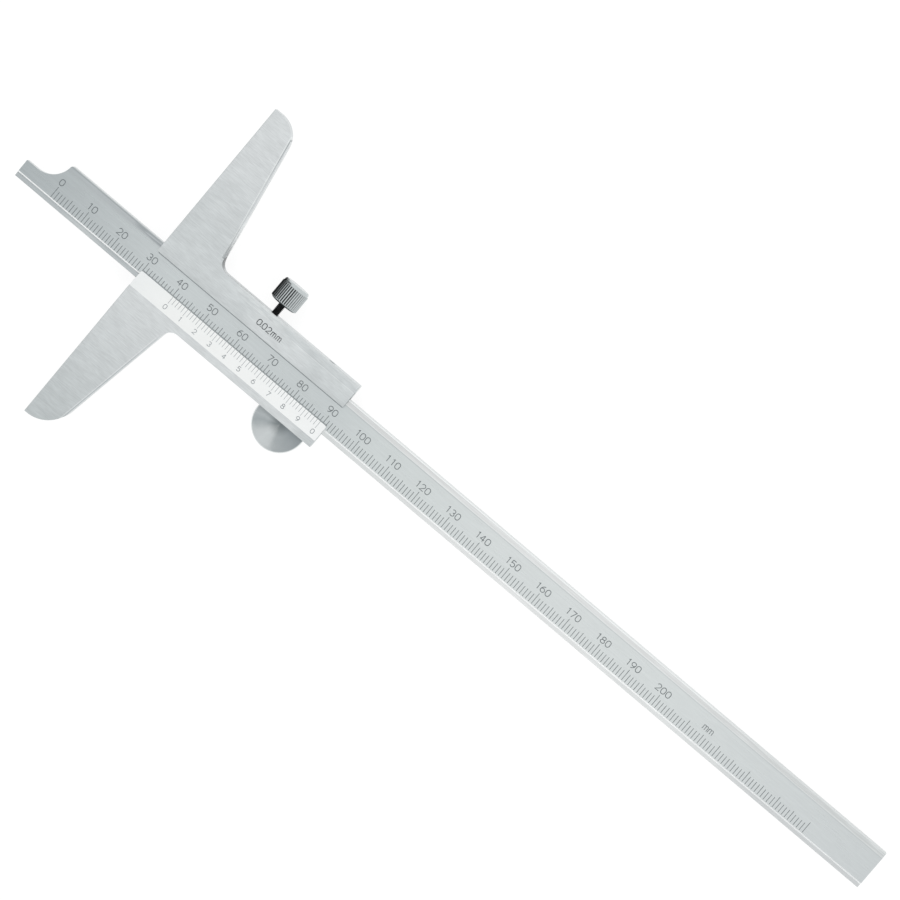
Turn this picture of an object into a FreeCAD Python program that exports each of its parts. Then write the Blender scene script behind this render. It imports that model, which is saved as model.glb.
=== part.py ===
"""Vernier depth gauge: a graduated beam that slides through a 100 mm measuring base.

Frame, in millimetres: X runs along the beam, away from its measuring tip; Y runs across it,
towards the clamp screw; Z is the normal of the graduated front. The origin is the middle of the
base's measuring face, on the centreline of the beam's slot and halfway through the base.
"""
import FreeCAD, Part
import math
import os
import types

import Sketcher
from FreeCAD import Placement, Rotation, Vector

SIZES = {
    # measuring base and slider, one forging
    "base_length": 100.0,
    "body_thickness": 6.0,
    "wing_end_width": 7.75,
    "wing_root_width": 14.9,
    "lower_wing_excess": 0.3,
    "upper_wing_bevel": 0.7,
    "lower_wing_bevel": 0.45,
    "upper_wing_flat": 1.9,
    "lower_wing_flat": 0.7,
    "root_round": 3.0,
    "slider_length": 61.7,
    "slider_width": 20.0,
    "lip_thickness": 1.05,
    "lip_edge_drop": 0.2,
    "window_edge_offset": 3.15,
    "ridge_offset": 7.9,
    "base_edge_break": 0.15,
    # beam
    "beam_length": 280.4,
    "beam_width": 11.4,
    "beam_thickness": 3.5,
    "slide_gap": 0.05,
    "depth_shown": 40.3,
    "ledge_width": 1.15,
    "ledge_drop": 0.5,
    "ledge_slope": 0.33,
    "land_width": 1.6,
    "land_drop": 0.06,
    "notch_radius": 6.35,
    "tip_land_length": 3.4,
    "notch_corner_round": 0.8,
    "beam_edge_break": 0.15,
    # vernier plate
    "vernier_edge_offset": 3.3,
    "vernier_edge_thickness": 0.15,
    "vernier_setback": 0.1,
    "vernier_corner_round": 0.5,
    "rail_strip_width": 2.0,
    "vernier_screw_inset": 7.0,
    "vernier_screw_disc_gap": 3.7,
    "vernier_screw_bite": 0.6,
    # gib: a bent spring strip between the slider and the beam's upper edge
    "gib_space": 0.85,
    "gib_face_distance": 9.0,
    "gib_end_distance": 4.5,
    "gib_flat_length": 20.0,
    "gib_thickness": 0.4,
    "gib_side_gap": 0.1,
    "gib_wall_gap": 0.02,
    "gib_screw_end_distance": 9.5,
    "gib_screw_diameter": 2.0,
    "gib_screw_recess": 0.2,
    "gib_dog_diameter": 1.0,
    "gib_dog_gap": 0.1,
    # clamp screw
    "clamp_position": 33.0,
    "stud_diameter": 2.0,
    "thread_gap": 0.03,
    "stud_mouth_chamfer": 0.25,
    "knob_diameter": 8.0,
    "knob_height": 6.0,
    "knob_standoff": 3.2,
    "knob_lower_chamfer": 0.7,
    "knob_upper_chamfer": 0.45,
    "knob_bore_depth": 3.5,
    "knob_bore_gap": 0.01,
    "knurl_count": 36,
    "knurl_depth": 0.3,
    "knurl_width": 0.45,
    "pad_diameter": 1.9,
    "pad_length": 1.0,
    "clamp_gap": 0.12,
    # thumb disc
    "disc_end_distance": 9.65,
    "disc_diameter": 14.6,
    "disc_thickness": 2.5,
    "disc_overhang": 0.9,
    "disc_inset": 3.6,
    "disc_seat_gap": 0.03,
    "disc_edge_chamfer": 0.15,
    "disc_screw_spacing": 7.2,
    "disc_screw_bite": 1.9,
    # countersunk screws, all alike but for their length
    "screw_diameter": 1.6,
    "screw_head_diameter": 2.8,
    "screw_hole_gap": 0.02,
    "screw_tip_gap": 0.15,
    "slot_width": 0.4,
    "slot_depth": 0.35,
    # how far a cutting sketch reaches past the solid
    "overshoot": 1.0,
}


class Size:
    """A number together with the spreadsheet expression that gives it."""

    def __init__(self, value, text):
        self.value = value
        self.text = text

    def __add__(self, other):
        other = as_size(other)
        return Size(self.value + other.value, f"({self.text} + {other.text})")

    def __sub__(self, other):
        other = as_size(other)
        return Size(self.value - other.value, f"({self.text} - {other.text})")

    def __mul__(self, factor):
        factor = as_size(factor)
        return Size(self.value * factor.value, f"({self.text} * {factor.text})")

    def __truediv__(self, divisor):
        divisor = as_size(divisor)
        return Size(self.value / divisor.value, f"({self.text} / {divisor.text})")

    def __neg__(self):
        return Size(-self.value, f"(0 - {self.text})")


def as_size(number):
    """Return a Size, also for a plain number."""
    if isinstance(number, Size):
        return number
    return Size(float(number), str(number))


def square_root(size):
    """Return the square root of a Size."""
    return Size(math.sqrt(size.value), f"sqrt({size.text})")


s = types.SimpleNamespace(**{name: Size(value, f"Sizes.{name}") for name, value in SIZES.items()})

# ---- sizes that several pieces share -------------------------------------------------------

base_half = s.base_length / 2
slider_half = s.slider_width / 2
lower_end_width = s.wing_end_width + s.lower_wing_excess
lower_root_width = s.wing_root_width + s.lower_wing_excess
wing_run = s.wing_root_width - s.wing_end_width
wing_rise = base_half - slider_half
wing_slant = square_root(wing_run * wing_run + wing_rise * wing_rise)
front = s.body_thickness / 2
back = -front

beam_half = s.beam_width / 2
lip_underside = front - s.lip_thickness
beam_front = lip_underside - s.slide_gap
beam_back = beam_front - s.beam_thickness
beam_middle = beam_back + s.beam_thickness / 2
beam_land = beam_front - s.land_drop
beam_ledge = beam_front - s.ledge_drop
channel_floor = beam_back - s.slide_gap
channel_lower_wall = -(beam_half + s.slide_gap)
channel_upper_wall = beam_half + s.gib_space
seat_lower_wall = -(slider_half - s.rail_strip_width)
vernier_edge = -s.vernier_edge_offset

gib_seat = beam_half + s.slide_gap
gib_flat_top = gib_seat + s.gib_thickness
gib_end_top = channel_upper_wall - s.gib_wall_gap
gib_left = s.gib_face_distance
gib_right = s.slider_length - s.gib_end_distance
gib_flat_left = s.clamp_position - s.gib_flat_length / 2
gib_flat_right = s.clamp_position + s.gib_flat_length / 2
gib_screw_x = s.slider_length - s.gib_screw_end_distance

pad_tip = gib_flat_top + s.clamp_gap
stud_tip = pad_tip + s.pad_length
knob_bottom = slider_half + s.knob_standoff

disc_radius = s.disc_diameter / 2
disc_centre_x = s.slider_length - s.disc_end_distance
disc_centre_y = -(slider_half + s.disc_overhang)
disc_flat_y = -(slider_half - s.disc_inset)
disc_screw_y = (disc_flat_y - slider_half) / 2
disc_screw_length = s.disc_thickness + s.disc_screw_bite
disc_screw_xs = [disc_centre_x - s.disc_screw_spacing / 2, disc_centre_x + s.disc_screw_spacing / 2]

vernier_screw_y = (seat_lower_wall + channel_lower_wall) / 2
vernier_screw_length = lip_underside - back + s.vernier_screw_bite
vernier_screw_xs = [s.vernier_screw_inset, disc_centre_x - disc_radius - s.vernier_screw_disc_gap]

screw_hole_radius = s.screw_diameter / 2 + s.screw_hole_gap
screw_head_radius = s.screw_head_diameter / 2

ALONG_Y = Rotation(Vector(1, 0, 0), -90)
NO_TURN = Rotation()
NEAR = 0.001


# ---- document helpers ----------------------------------------------------------------------

def write_sheet(doc):
    """Put every driving dimension in the spreadsheet, one alias to a row."""
    sheet = doc.addObject("Spreadsheet::Sheet", "Sizes")
    for row, (name, value) in enumerate(SIZES.items(), start=1):
        sheet.set(f"A{row}", name)
        sheet.set(f"B{row}", str(value))
        sheet.setAlias(f"B{row}", name)
    doc.recompute()


def bind(obj, path, size):
    """Drive one property from the spreadsheet."""
    obj.setExpression(path, size.text)


def new_body(doc, name, place=None, turn=NO_TURN):
    """Start a body whose label names its file; place is its origin as three sizes."""
    body = doc.addObject("PartDesign::Body", name)
    body.Label = name
    if place:
        corner = [as_size(coordinate) for coordinate in place]
        body.Placement = Placement(Vector(*[size.value for size in corner]), turn)
        for axis, size in zip("xyz", corner):
            bind(body, f"Placement.Base.{axis}", size)
    return body


def new_sketch(body, name, role, height=None):
    """Attach a sketch to one of the body's origin planes, moved along its normal by height."""
    plane = next(item for item in body.Origin.OriginFeatures if item.Role == role)
    sketch = body.newObject("Sketcher::SketchObject", name)
    sketch.AttachmentSupport = [(plane, "")]
    sketch.MapMode = "FlatFace"
    if height is not None:
        height = as_size(height)
        sketch.AttachmentOffset = Placement(Vector(0, 0, height.value), NO_TURN)
        bind(sketch, "AttachmentOffset.Base.z", height)
    return sketch


def constrain(sketch, kind, geometry, size):
    """Add a constraint whose value follows the spreadsheet."""
    index = sketch.addConstraint(Sketcher.Constraint(kind, *geometry, size.value))
    bind(sketch, f"Constraints[{index}]", size)


def fix_point(sketch, geometry, point, x, y):
    """Hold one point of the sketch at its distances from the sketch's origin."""
    constrain(sketch, "DistanceX", (-1, 1, geometry, point), as_size(x))
    constrain(sketch, "DistanceY", (-1, 1, geometry, point), as_size(y))


def at(x, y):
    """Return the numeric place of a sketch point."""
    return Vector(as_size(x).value, as_size(y).value, 0)


def outline(sketch, corners, arcs=None):
    """Draw a closed outline; arcs maps a side's number to its radius and a point it passes."""
    arcs = arcs or {}
    count = len(corners)
    places = [at(x, y) for x, y in corners]
    for side in range(count):
        start = places[side]
        end = places[(side + 1) % count]
        if side in arcs:
            radius, passes = arcs[side]
            sketch.addGeometry(Part.Arc(start, at(*passes), end))
            constrain(sketch, "Radius", (side,), radius)
        else:
            sketch.addGeometry(Part.LineSegment(start, end))
    for side in range(count):
        following = (side + 1) % count
        joint = (side, end_point(sketch, side, places[following]))
        next_start = (following, end_point(sketch, following, places[following]))
        sketch.addConstraint(Sketcher.Constraint("Coincident", *joint, *next_start))
        fix_point(sketch, *next_start, *corners[following])


def end_point(sketch, geometry, place):
    """Tell which end of a side, 1 or 2, lies at a place; an arc always runs counter-clockwise."""
    start = sketch.getPoint(geometry, 1)
    return 1 if start.distanceToPoint(place) < NEAR else 2


def circle(sketch, x, y, radius):
    """Draw a circle with its centre and radius held."""
    index = sketch.addGeometry(Part.Circle(at(x, y), Vector(0, 0, 1), radius.value))
    fix_point(sketch, index, 3, x, y)
    constrain(sketch, "Radius", (index,), radius)


def d_shape(sketch, x, y, radius, flat_y):
    """Draw the part of a circle that lies below a straight chord."""
    rise = flat_y.value - y.value
    half_chord = math.sqrt(radius.value ** 2 - rise ** 2)
    right = Vector(x.value + half_chord, flat_y.value, 0)
    left = Vector(x.value - half_chord, flat_y.value, 0)
    bottom = Vector(x.value, y.value - radius.value, 0)
    arc = sketch.addGeometry(Part.Arc(left, bottom, right))
    chord = sketch.addGeometry(Part.LineSegment(right, left))
    sketch.addConstraint(Sketcher.Constraint("Coincident", arc, end_point(sketch, arc, right), chord, 1))
    sketch.addConstraint(Sketcher.Constraint("Coincident", arc, end_point(sketch, arc, left), chord, 2))
    fix_point(sketch, arc, 3, x, y)
    constrain(sketch, "Radius", (arc,), radius)
    constrain(sketch, "DistanceY", (-1, 1, chord, 1), flat_y)
    sketch.addConstraint(Sketcher.Constraint("Horizontal", chord))


def pad(body, sketch, length):
    """Add material from a sketch, along its normal."""
    feature = body.newObject("PartDesign::Pad", f"{sketch.Name}_pad")
    feature.Profile = sketch
    bind(feature, "Length", as_size(length))
    body.Document.recompute()
    return feature


def pocket(body, sketch, length):
    """Cut along the sketch's normal, and check that the cut removed material."""
    before = body.Shape.Volume
    feature = body.newObject("PartDesign::Pocket", f"{sketch.Name}_pocket")
    feature.Profile = sketch
    feature.Reversed = True
    bind(feature, "Length", as_size(length))
    body.Document.recompute()
    if body.Shape.Volume > before - NEAR ** 2:
        raise RuntimeError(f"{feature.Name} cut nothing")
    return feature


def revolve(body, sketch):
    """Turn a sketch on the XZ plane a full turn about the body's Z axis."""
    axis = next(item for item in body.Origin.OriginFeatures if item.Role == "Z_Axis")
    feature = body.newObject("PartDesign::Revolution", f"{sketch.Name}_revolution")
    feature.Profile = sketch
    feature.ReferenceAxis = (axis, [""])
    feature.Angle = 360
    body.Document.recompute()
    return feature


def edges_where(feature, wanted):
    """Name the edges of a feature for which wanted(edge) holds."""
    edges = enumerate(feature.Shape.Edges, start=1)
    names = [f"Edge{number}" for number, edge in edges if wanted(edge)]
    if not names:
        raise RuntimeError(f"no edge to work on after {feature.Name}")
    return names


def dress(body, kind, name, names, size):
    """Fillet or chamfer the named edges of the body's last feature."""
    base = body.Tip
    feature = body.newObject(f"PartDesign::{kind}", name)
    feature.Base = (base, names)
    bind(feature, "Radius" if kind == "Fillet" else "Size", size)
    body.Document.recompute()
    return feature


def upright_at(x, y):
    """Match a straight edge along Z at one place in the XY plane."""
    place = at(x, y)

    def wanted(edge):
        ends = [vertex.Point for vertex in edge.Vertexes]
        return len(ends) == 2 and all(math.hypot(p.x - place.x, p.y - place.y) < NEAR for p in ends)

    return wanted


def circle_at(centre, radius):
    """Match a circular edge by its centre and radius."""

    def wanted(edge):
        curve = edge.Curve
        return (
            isinstance(curve, Part.Circle)
            and abs(curve.Radius - radius.value) < NEAR
            and curve.Center.distanceToPoint(centre) < NEAR
        )

    return wanted


def group(doc, name, bodies):
    """Collect identical pieces in one node."""
    compound = doc.addObject("Part::Compound", name)
    compound.Label = name
    compound.Links = bodies
    return compound


# ---- base and slider -----------------------------------------------------------------------

def slanted_edge_of_wing(side):
    """Match a wing's long slanted edges, front and back; side is 1 for the upper wing, -1 for the lower."""
    def wanted(edge):
        ends = [vertex.Point for vertex in edge.Vertexes]
        level = abs(ends[0].z - ends[-1].z) < NEAR
        slanted = abs(ends[0].x - ends[-1].x) > NEAR and abs(ends[0].y - ends[-1].y) > NEAR
        return level and slanted and ends[0].y * side > 0

    return wanted


def measuring_face_or_slider_end(edge):
    """Match the front and back edges of the measuring face and of the slider's far end."""
    ends = [vertex.Point for vertex in edge.Vertexes]
    level = abs(ends[0].z - ends[-1].z) < NEAR
    return level and any(
        all(abs(end.x - x) < NEAR for end in ends) for x in (0, s.slider_length.value))


def add_root_round(body, name, side, root_width, bevel):
    """Fill the corner between a wing and the slider with a round, which also ends the bevel.

    side is 1 for the upper wing and -1 for the lower. The round touches the slider's edge and the
    wing's slanted edge at the same distance from their corner.
    """
    reach = s.root_round * square_root((wing_slant - wing_run) / (wing_slant + wing_run))
    touch_x = root_width - wing_run * reach / wing_slant
    touch_y = slider_half + wing_rise * reach / wing_slant
    inside = bevel * 2

    to_centre = math.hypot(reach.value, s.root_round.value)
    share = 1 - s.root_round.value / to_centre
    passes = (root_width.value + reach.value * share,
              side * (slider_half.value + s.root_round.value * share))
    shape = new_sketch(body, name, "XY_Plane", back)
    outline(shape, [
        (root_width - inside, (slider_half - inside) * side),
        (root_width + reach, (slider_half - inside) * side),
        (root_width + reach, slider_half * side),
        (touch_x, touch_y * side),
        (touch_x - inside, touch_y * side),
    ], {2: (s.root_round, passes)})
    return pad(body, shape, s.body_thickness)


def wing_end_round(end_width, flat):
    """Return the radius of a wing's outer corner, from the flat that it leaves at the wing's end."""
    return (end_width - flat) * (wing_slant + wing_run) / wing_rise


def make_base_slider(doc):
    """The T-shaped forging: two tapered wings, and the slider with the beam's channel."""
    body = new_body(doc, "base_slider")
    shape = new_sketch(body, "base_outline", "XY_Plane", back)
    outline(shape, [
        (0, -base_half),
        (lower_end_width, -base_half),
        (lower_root_width, -slider_half),
        (s.slider_length, -slider_half),
        (s.slider_length, slider_half),
        (s.wing_root_width, slider_half),
        (s.wing_end_width, base_half),
        (0, base_half),
    ])
    last = pad(body, shape, s.body_thickness)
    ends = edges_where(last, measuring_face_or_slider_end)
    last = dress(body, "Chamfer", "edge_breaks", ends, s.base_edge_break)
    for name, side, end_width, root_width, bevel, flat in (
        ("upper", 1, s.wing_end_width, s.wing_root_width, s.upper_wing_bevel, s.upper_wing_flat),
        ("lower", -1, lower_end_width, lower_root_width, s.lower_wing_bevel, s.lower_wing_flat),
    ):
        slants = edges_where(last, slanted_edge_of_wing(side))
        last = dress(body, "Chamfer", f"{name}_wing_bevels", slants, bevel)
        corner = edges_where(last, upright_at(end_width, base_half * side))
        last = dress(body, "Fillet", f"{name}_wing_corner", corner, wing_end_round(end_width, flat))
        last = add_root_round(body, f"{name}_root", side, root_width, bevel)

    channel = new_sketch(body, "channel_section", "YZ_Plane", -s.overshoot)
    outline(channel, [
        (seat_lower_wall, front + s.overshoot),
        (seat_lower_wall, lip_underside),
        (channel_lower_wall, lip_underside),
        (channel_lower_wall, channel_floor),
        (channel_upper_wall, channel_floor),
        (channel_upper_wall, lip_underside),
        (s.window_edge_offset, lip_underside),
        (s.window_edge_offset, front - s.lip_edge_drop),
        (s.ridge_offset, front),
        (s.ridge_offset, front + s.overshoot),
    ])
    pocket(body, channel, s.slider_length + s.overshoot * 2)

    cut_clamp_holes(body)
    cut_disc_seat(body)
    cut_vernier_screw_holes(body)
    return body


def cut_clamp_holes(body):
    """Drill the slider's upper wall for the clamp screw and the gib screw."""
    wall = slider_half - channel_upper_wall
    clamp_radius = s.stud_diameter / 2 + s.thread_gap
    holes = new_sketch(body, "clamp_holes", "XZ_Plane", -(slider_half + s.overshoot))
    circle(holes, s.clamp_position, beam_middle, clamp_radius)
    circle(holes, gib_screw_x, beam_middle, s.gib_screw_diameter / 2 + s.screw_hole_gap)
    last = pocket(body, holes, wall + s.overshoot * 2)
    mouth = circle_at(Vector(s.clamp_position.value, slider_half.value, beam_middle.value), clamp_radius)
    dress(body, "Chamfer", "clamp_hole_mouth", edges_where(last, mouth), s.stud_mouth_chamfer)


def cut_disc_seat(body):
    """Mill the seat for the thumb disc in the back of the lower rail, with its two tapped holes."""
    seat = new_sketch(body, "disc_seat", "XY_Plane", back - s.overshoot)
    reach = disc_radius + s.disc_seat_gap
    d_shape(seat, disc_centre_x, disc_centre_y, reach, disc_flat_y + s.disc_seat_gap)
    pocket(body, seat, s.disc_thickness + s.overshoot)
    holes = new_sketch(body, "disc_screw_holes", "XY_Plane", back)
    for x in disc_screw_xs:
        circle(holes, x, disc_screw_y, screw_hole_radius)
    pocket(body, holes, disc_screw_length + s.screw_tip_gap)


def cut_vernier_screw_holes(body):
    """Drill and countersink the lower rail from behind for the vernier plate's screws."""
    holes = new_sketch(body, "vernier_screw_holes", "XY_Plane", back)
    for x in vernier_screw_xs:
        circle(holes, x, vernier_screw_y, screw_hole_radius)
    pocket(body, holes, lip_underside - back)
    countersink(body, "vernier_countersinks", vernier_screw_xs, vernier_screw_y)


def countersink(body, name, xs, y):
    """Chamfer the back mouths of a row of screw holes to 90 degrees, for flush heads."""
    mouths = [circle_at(Vector(x.value, y.value, back.value), screw_hole_radius) for x in xs]
    names = edges_where(body.Tip, lambda edge: any(mouth(edge) for mouth in mouths))
    dress(body, "Chamfer", name, names, screw_head_radius - s.screw_diameter / 2)


# ---- beam ----------------------------------------------------------------------------------

def make_beam(doc):
    """The graduated rule, in its own frame from its measuring end at X = 0."""
    body = new_body(doc, "beam", (-s.depth_shown, 0, 0))
    section = new_sketch(body, "beam_section", "YZ_Plane")
    outline(section, [
        (-(beam_half - s.beam_edge_break), beam_back),
        (beam_half - s.beam_edge_break, beam_back),
        (beam_half, beam_back + s.beam_edge_break),
        (beam_half, beam_land - s.beam_edge_break),
        (beam_half - s.beam_edge_break, beam_land),
        (beam_half - s.land_width, beam_land),
        (beam_half - s.land_width, beam_front),
        (-(beam_half - s.ledge_width - s.ledge_slope), beam_front),
        (-(beam_half - s.ledge_width), beam_ledge),
        (-(beam_half - s.beam_edge_break), beam_ledge),
        (-beam_half, beam_ledge - s.beam_edge_break),
        (-beam_half, beam_back + s.beam_edge_break),
    ])
    pad(body, section, s.beam_length)
    cut_tip_notch(body)
    return body


def cut_tip_notch(body):
    """Cut the quarter-round notch that leaves the narrow measuring tip.

    The notch is centred on the beam's upper edge, and a small round, which touches both, leads
    from it to that edge.
    """
    reach = s.notch_radius + s.notch_corner_round
    run = square_root(reach * reach - s.notch_corner_round * s.notch_corner_round)
    touch_x = s.tip_land_length + run * s.notch_radius / reach
    touch_y = beam_half - s.notch_corner_round * s.notch_radius / reach
    corner_x = s.tip_land_length + run
    diagonal = math.sqrt(0.5)
    in_notch = (s.tip_land_length + s.notch_radius * diagonal, beam_half - s.notch_radius * diagonal)
    in_corner = (corner_x - s.notch_corner_round * diagonal,
                 beam_half - s.notch_corner_round * (1 - diagonal))

    notch = new_sketch(body, "tip_notch", "XY_Plane", beam_back - s.overshoot)
    outline(notch, [
        (-s.overshoot, beam_half - s.notch_radius),
        (s.tip_land_length, beam_half - s.notch_radius),
        (touch_x, touch_y),
        (corner_x, beam_half),
        (corner_x, beam_half + s.overshoot),
        (-s.overshoot, beam_half + s.overshoot),
    ], {1: (s.notch_radius, in_notch), 2: (s.notch_corner_round, in_corner)})
    pocket(body, notch, s.beam_thickness + s.overshoot * 2)


# ---- vernier plate -------------------------------------------------------------------------

def make_vernier_plate(doc):
    """The bevelled plate beside the scale: thick on the rail, thin at its reading edge."""
    body = new_body(doc, "vernier_plate")
    section = new_sketch(body, "vernier_section", "YZ_Plane", s.vernier_setback)
    outline(section, [
        (seat_lower_wall, lip_underside),
        (vernier_edge, lip_underside),
        (vernier_edge, lip_underside + s.vernier_edge_thickness),
        (seat_lower_wall, front),
    ])
    last = pad(body, section, s.slider_length - s.vernier_setback * 2)
    plate_ends = (s.vernier_setback, s.slider_length - s.vernier_setback)
    corners = edges_where(last, lambda edge: any(
        upright_at(x, vernier_edge)(edge) for x in plate_ends))
    dress(body, "Fillet", "reading_edge_corners", corners, s.vernier_corner_round)
    holes = new_sketch(body, "vernier_plate_holes", "XY_Plane", lip_underside)
    for x in vernier_screw_xs:
        circle(holes, x, vernier_screw_y, screw_hole_radius)
    pocket(body, holes, s.vernier_screw_bite)
    return body


# ---- gib -----------------------------------------------------------------------------------

def make_gib_spring(doc):
    """A strip bent so that its middle bears on the beam and its ends on the slider."""
    body = new_body(doc, "gib_spring")
    width = s.beam_thickness - s.gib_side_gap * 2
    side_view = new_sketch(body, "gib_side_view", "XY_Plane", beam_middle - width / 2)
    outline(side_view, [
        (gib_left, gib_end_top - s.gib_thickness),
        (gib_flat_left, gib_seat),
        (gib_flat_right, gib_seat),
        (gib_right, gib_end_top - s.gib_thickness),
        (gib_right, gib_end_top),
        (gib_flat_right, gib_flat_top),
        (gib_flat_left, gib_flat_top),
        (gib_left, gib_end_top),
    ])
    pad(body, side_view, width)
    hole = new_sketch(body, "gib_dog_hole", "XZ_Plane", -(channel_upper_wall + s.overshoot))
    circle(hole, gib_screw_x, beam_middle, s.gib_dog_diameter / 2 + s.gib_dog_gap)
    pocket(body, hole, s.gib_space + s.overshoot * 2)
    return body


def make_gib_screw(doc):
    """The slotted set screw, whose dog point keeps the gib from creeping out of the channel."""
    rise = (gib_end_top - gib_flat_top) / (gib_right - gib_flat_right)
    strip_top = gib_flat_top + rise * (gib_screw_x + s.gib_screw_diameter / 2 - gib_flat_right)
    shoulder = strip_top + s.gib_wall_gap
    top = slider_half - s.gib_screw_recess
    length = top - shoulder
    dog_length = shoulder - gib_flat_top
    body = new_body(doc, "gib_screw", (gib_screw_x, shoulder, beam_middle), ALONG_Y)
    profile = new_sketch(body, "gib_screw_profile", "XZ_Plane")
    outline(profile, [
        (0, -dog_length),
        (s.gib_dog_diameter / 2, -dog_length),
        (s.gib_dog_diameter / 2, 0),
        (s.gib_screw_diameter / 2, 0),
        (s.gib_screw_diameter / 2, length),
        (0, length),
    ])
    revolve(body, profile)
    cut_slot(body, "gib_screw_slot", length - s.slot_depth, s.gib_screw_diameter)
    return body


def cut_slot(body, name, height, reach):
    """Saw a screwdriver slot across the end of a screw, from height outwards along Z."""
    slot = new_sketch(body, name, "XY_Plane", height)
    rectangle(slot, -reach, reach, -s.slot_width / 2, s.slot_width / 2)
    pocket(body, slot, s.slot_depth + s.overshoot)


def rectangle(sketch, left, right, lower, upper):
    """Draw a rectangle from its four sides."""
    outline(sketch, [(left, lower), (right, lower), (right, upper), (left, upper)])


# ---- clamp screw ---------------------------------------------------------------------------

def make_clamp_pad(doc):
    """The brass plug that presses on the gib; it travels with the screw but doesn't turn."""
    body = new_body(doc, "clamp_pad", (s.clamp_position, pad_tip, beam_middle), ALONG_Y)
    face = new_sketch(body, "clamp_pad_face", "XY_Plane")
    circle(face, 0, 0, s.pad_diameter / 2)
    pad(body, face, s.pad_length)
    return body


def make_clamp_stud(doc):
    """The black screw, from the pad up into the knob's bore."""
    body = new_body(doc, "clamp_stud", (s.clamp_position, stud_tip, beam_middle), ALONG_Y)
    face = new_sketch(body, "clamp_stud_face", "XY_Plane")
    circle(face, 0, 0, s.stud_diameter / 2)
    pad(body, face, knob_bottom + s.knob_bore_depth - stud_tip)
    return body


def make_clamp_knob(doc):
    """The straight-knurled head, in its own frame from its lower face at Z = 0."""
    radius = s.knob_diameter / 2
    body = new_body(doc, "clamp_knob", (s.clamp_position, knob_bottom, beam_middle), ALONG_Y)
    profile = new_sketch(body, "knob_profile", "XZ_Plane")
    outline(profile, [
        (s.stud_diameter / 2 + s.knob_bore_gap, 0),
        (radius - s.knob_lower_chamfer, 0),
        (radius, s.knob_lower_chamfer),
        (radius, s.knob_height - s.knob_upper_chamfer),
        (radius - s.knob_upper_chamfer, s.knob_height),
        (0, s.knob_height),
        (0, s.knob_bore_depth),
        (s.stud_diameter / 2 + s.knob_bore_gap, s.knob_bore_depth),
    ])
    revolve(body, profile)

    past_rim = s.knurl_depth / 2
    flank = s.knurl_width / 2 / s.knurl_depth
    half_width = flank * (s.knurl_depth + past_rim)
    groove = new_sketch(body, "knurl_groove", "XY_Plane", -s.overshoot)
    outline(groove, [
        (radius - s.knurl_depth, 0),
        (radius + past_rim, -half_width),
        (radius + past_rim, half_width),
    ])
    cut = pocket(body, groove, s.knob_height + s.overshoot * 2)
    axis = next(item for item in body.Origin.OriginFeatures if item.Role == "Z_Axis")
    knurl = body.newObject("PartDesign::PolarPattern", "knurl")
    knurl.Originals = [cut]
    knurl.Axis = (axis, [""])
    knurl.Angle = 360
    bind(knurl, "Occurrences", s.knurl_count)
    body.Tip = knurl
    doc.recompute()
    return body


# ---- thumb disc and screws -----------------------------------------------------------------

def make_thumb_disc(doc):
    """The turned disc let into the back of the lower rail, cut off straight inside it."""
    body = new_body(doc, "thumb_disc")
    face = new_sketch(body, "disc_face", "XY_Plane", back)
    d_shape(face, disc_centre_x, disc_centre_y, disc_radius, disc_flat_y)
    last = pad(body, face, s.disc_thickness)

    def rim(edge):
        return isinstance(edge.Curve, Part.Circle) and abs(edge.Curve.Radius - disc_radius.value) < NEAR

    dress(body, "Chamfer", "disc_rim", edges_where(last, rim), s.disc_edge_chamfer)
    holes = new_sketch(body, "disc_holes", "XY_Plane", back)
    for x in disc_screw_xs:
        circle(holes, x, disc_screw_y, screw_hole_radius)
    pocket(body, holes, s.disc_thickness)
    countersink(body, "disc_countersinks", disc_screw_xs, disc_screw_y)
    return body


def make_screw(doc, name, x, y, length):
    """A slotted countersunk screw that goes in from behind, its head flush with the back."""
    shank = s.screw_diameter / 2
    body = new_body(doc, name, (x, y, back))
    profile = new_sketch(body, f"{name}_profile", "XZ_Plane")
    outline(profile, [
        (0, 0),
        (screw_head_radius, 0),
        (shank, screw_head_radius - shank),
        (shank, length),
        (0, length),
    ])
    revolve(body, profile)
    cut_slot(body, f"{name}_slot", -s.overshoot, screw_head_radius)
    return body


def make_screws(doc, name, xs, y, length):
    """A row of identical screws in one node."""
    bodies = [make_screw(doc, f"{name}_{number}", x, y, length) for number, x in enumerate(xs, start=1)]
    return group(doc, name, bodies)


# ---- the whole gauge -----------------------------------------------------------------------

def check(doc, pieces):
    """Stop if any feature failed or any piece has no valid solid."""
    for obj in doc.Objects:
        if "Invalid" in obj.State or "Error" in obj.State:
            raise RuntimeError(f"{obj.Name} failed: {obj.State}")
    for piece in pieces:
        shape = piece.Shape
        if shape.isNull() or not shape.isValid() or not shape.Solids:
            raise RuntimeError(f"{piece.Label} has no valid solid")


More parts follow.
